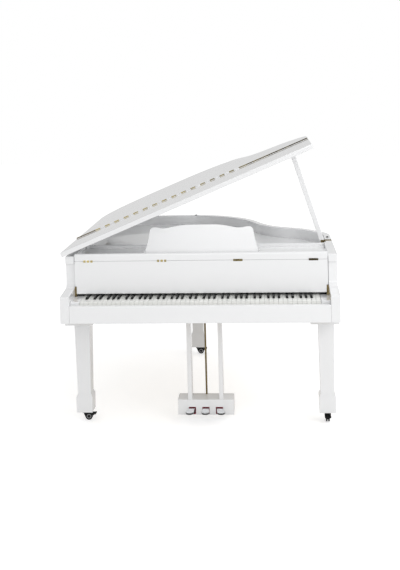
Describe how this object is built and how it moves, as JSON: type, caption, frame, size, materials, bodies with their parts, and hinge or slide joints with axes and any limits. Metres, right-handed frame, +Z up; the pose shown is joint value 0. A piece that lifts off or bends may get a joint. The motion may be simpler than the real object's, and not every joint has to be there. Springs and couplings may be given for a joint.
{
  "type": "grand piano",
  "caption": "White lacquered baby grand piano with an open lid on its prop, a folding fallboard, a music desk, sprung keys and pedals, and square tapered legs on twin-wheel casters.",
  "frame": {"origin": "on the floor, below the middle of the front edge of the white keys", "axes": "+X to the treble side, +Y from the player to the tail, +Z up"},
  "size_m": [1.4269, 1.492, 1.4868],
  "materials": {
    "white_lacquer": "high gloss white lacquer",
    "bare_wood": "bare board",
    "ivory_plastic": "gloss",
    "black_plastic": "satin black",
    "brass": "polished",
    "chrome": "polished",
    "steel": "satin",
    "dark_plastic": "moulded black",
    "circuit": "board green",
    "red_felt": "dark red felt",
    "rubber": "soft black"
  },
  "bodies": {
    "case": {"arm_left": "white_lacquer", "arm_right": "white_lacquer", "belly_rail": "white_lacquer", "bottom_board": "bare_wood", "desk_pivots": "brass", "fallboard_brackets": "brass", "inner_cover": "white_lacquer", "inner_rim": "bare_wood", "key_blocks": "white_lacquer", "key_frame": "bare_wood", "key_sensor_board": "circuit", "key_slip": "white_lacquer", "keybed": "bare_wood", "leg_front_left": "white_lacquer", "leg_front_right": "white_lacquer", "leg_plates": "white_lacquer", "leg_rear": "white_lacquer", "lid_buttons": "rubber", "lid_hinges_case": "brass", "lyre_posts": "white_lacquer", "main_board": "circuit", "music_shelf": "white_lacquer", "pedal_box": "white_lacquer", "pedal_felts": "red_felt", "pedal_rod": "steel", "pedal_tube": "brass", "power_supply": "dark_plastic", "prop_bracket": "brass", "rim": "white_lacquer", "speakers": "dark_plastic"},
    "lid": {"lid_main": "white_lacquer", "lid_hinges_lid": "brass", "flap_hinge_rear": "brass"},
    "lid_flap": {"lid_flap": "white_lacquer", "flap_hinge_front": "brass"},
    "lid_prop": {"lid_prop": "white_lacquer"},
    "music_desk": {"music_desk": "white_lacquer"},
    "fallboard": {"fallboard": "white_lacquer", "fallboard_hinges": "brass"},
    "fallboard_lip": {"fallboard_lip": "white_lacquer", "lip_hinges": "brass"},
    "white_keys_bass": {"white_keys_bass": "ivory_plastic"},
    "white_keys_treble": {"white_keys_treble": "ivory_plastic"},
    "black_keys_bass": {"black_keys_bass": "black_plastic"},
    "black_keys_treble": {"black_keys_treble": "black_plastic"},
    "key_c": {"key_c": "ivory_plastic"},
    "key_c_sharp": {"key_c_sharp": "black_plastic"},
    "key_d": {"key_d": "ivory_plastic"},
    "pedal_left": {"pedal_left": "chrome"},
    "pedal_middle": {"pedal_middle": "chrome"},
    "pedal_right": {"pedal_right": "chrome"},
    "caster_left": {"caster_fork_left": "steel"},
    "wheels_left": {"caster_wheels_left": "dark_plastic"},
    "brake_left": {"caster_brake_left": "dark_plastic"},
    "caster_right": {"caster_fork_right": "steel"},
    "wheels_right": {"caster_wheels_right": "dark_plastic"},
    "brake_right": {"caster_brake_right": "dark_plastic"},
    "caster_rear": {"caster_fork_rear": "steel"},
    "wheels_rear": {"caster_wheels_rear": "dark_plastic"},
    "brake_rear": {"caster_brake_rear": "dark_plastic"}
  },
  "joints": [
    {"name": "lid_open", "type": "hinge", "parent": "case", "child": "lid", "pos_m": [-0.709, 0.86, 0.916], "axis": [0, -1, 0], "range_deg": [0, 30]},
    {"name": "flap_fold", "type": "hinge", "parent": "lid", "child": "lid_flap", "pos_m": [-0.07057, 0.48, 1.21433], "axis": [-0.9239, 0, -0.3827], "range_deg": [0, 175]},
    {"name": "prop_swing", "type": "hinge", "parent": "case", "child": "lid_prop", "pos_m": [0.654, 0.49, 0.9], "axis": [0, -1, 0], "range_deg": [0, 72]},
    {"name": "desk_fold", "type": "hinge", "parent": "case", "child": "music_desk", "pos_m": [0, 0.258, 0.9065], "axis": [1, 0, 0], "range_deg": [-79, 0]},
    {"name": "fallboard_close", "type": "hinge", "parent": "case", "child": "fallboard", "pos_m": [0, 0.122, 0.727], "axis": [1, 0, 0], "range_deg": [0, 90]},
    {"name": "lip_fold", "type": "hinge", "parent": "fallboard", "child": "fallboard_lip", "pos_m": [0, 0.1101, 0.889], "axis": [1, 0, 0], "range_deg": [0, 90]},
    {"name": "white_keys_bass_press", "type": "hinge", "parent": "case", "child": "white_keys_bass", "pos_m": [0, 0.25, 0.684], "axis": [1, 0, 0], "range_deg": [0, 2.3], "stiffness_Nm_per_rad": 55.2, "springref_deg": -8.59},
    {"name": "white_keys_treble_press", "type": "hinge", "parent": "case", "child": "white_keys_treble", "pos_m": [0, 0.25, 0.684], "axis": [1, 0, 0], "range_deg": [0, 2.3], "stiffness_Nm_per_rad": 64.8, "springref_deg": -8.59},
    {"name": "black_keys_bass_press", "type": "hinge", "parent": "case", "child": "black_keys_bass", "pos_m": [0, 0.25, 0.684], "axis": [1, 0, 0], "range_deg": [0, 2.3], "stiffness_Nm_per_rad": 38.4, "springref_deg": -8.59},
    {"name": "black_keys_treble_press", "type": "hinge", "parent": "case", "child": "black_keys_treble", "pos_m": [0, 0.25, 0.684], "axis": [1, 0, 0], "range_deg": [0, 2.3], "stiffness_Nm_per_rad": 45.6, "springref_deg": -8.59},
    {"name": "key_c_press", "type": "hinge", "parent": "case", "child": "key_c", "pos_m": [0, 0.25, 0.684], "axis": [1, 0, 0], "range_deg": [0, 2.3], "stiffness_Nm_per_rad": 2.4, "springref_deg": -8.59},
    {"name": "key_c_sharp_press", "type": "hinge", "parent": "case", "child": "key_c_sharp", "pos_m": [0, 0.25, 0.684], "axis": [1, 0, 0], "range_deg": [0, 2.3], "stiffness_Nm_per_rad": 2.4, "springref_deg": -8.59},
    {"name": "key_d_press", "type": "hinge", "parent": "case", "child": "key_d", "pos_m": [0, 0.25, 0.684], "axis": [1, 0, 0], "range_deg": [0, 2.3], "stiffness_Nm_per_rad": 2.4, "springref_deg": -8.59},
    {"name": "pedal_left_press", "type": "hinge", "parent": "case", "child": "pedal_left", "pos_m": [0.005, 0.283, 0.0823], "axis": [1, 0, 0], "range_deg": [0, 5], "stiffness_Nm_per_rad": 6, "springref_deg": -6.88},
    {"name": "pedal_middle_press", "type": "hinge", "parent": "case", "child": "pedal_middle", "pos_m": [0.005, 0.283, 0.0823], "axis": [1, 0, 0], "range_deg": [0, 5], "stiffness_Nm_per_rad": 6, "springref_deg": -6.88},
    {"name": "pedal_right_press", "type": "hinge", "parent": "case", "child": "pedal_right", "pos_m": [0.005, 0.283, 0.0823], "axis": [1, 0, 0], "range_deg": [0, 5], "stiffness_Nm_per_rad": 6, "springref_deg": -6.88},
    {"name": "swivel_left", "type": "hinge", "parent": "case", "child": "caster_left", "pos_m": [-0.647, 0.247, 0.06], "axis": [0, 0, 1], "continuous": true},
    {"name": "roll_left", "type": "hinge", "parent": "caster_left", "child": "wheels_left", "pos_m": [-0.632, 0.247, 0.019], "axis": [0, 1, 0], "continuous": true},
    {"name": "brake_press_left", "type": "hinge", "parent": "caster_left", "child": "brake_left", "pos_m": [-0.6065, 0.247, 0.032], "axis": [0, 1, 0], "range_deg": [0, 18]},
    {"name": "swivel_right", "type": "hinge", "parent": "case", "child": "caster_right", "pos_m": [0.647, 0.247, 0.06], "axis": [0, 0, 1], "continuous": true},
    {"name": "roll_right", "type": "hinge", "parent": "caster_right", "child": "wheels_right", "pos_m": [0.647, 0.232, 0.019], "axis": [1, 0, 0], "continuous": true},
    {"name": "brake_press_right", "type": "hinge", "parent": "caster_right", "child": "brake_right", "pos_m": [0.647, 0.2065, 0.032], "axis": [1, 0, 0], "range_deg": [0, 18]},
    {"name": "swivel_rear", "type": "hinge", "parent": "case", "child": "caster_rear", "pos_m": [-0.124, 1.374, 0.06], "axis": [0, 0, 1], "continuous": true},
    {"name": "roll_rear", "type": "hinge", "parent": "caster_rear", "child": "wheels_rear", "pos_m": [-0.109, 1.374, 0.019], "axis": [0, 1, 0], "continuous": true},
    {"name": "brake_press_rear", "type": "hinge", "parent": "caster_rear", "child": "brake_rear", "pos_m": [-0.0835, 1.374, 0.032], "axis": [0, 1, 0], "range_deg": [0, 18]}
  ]
}
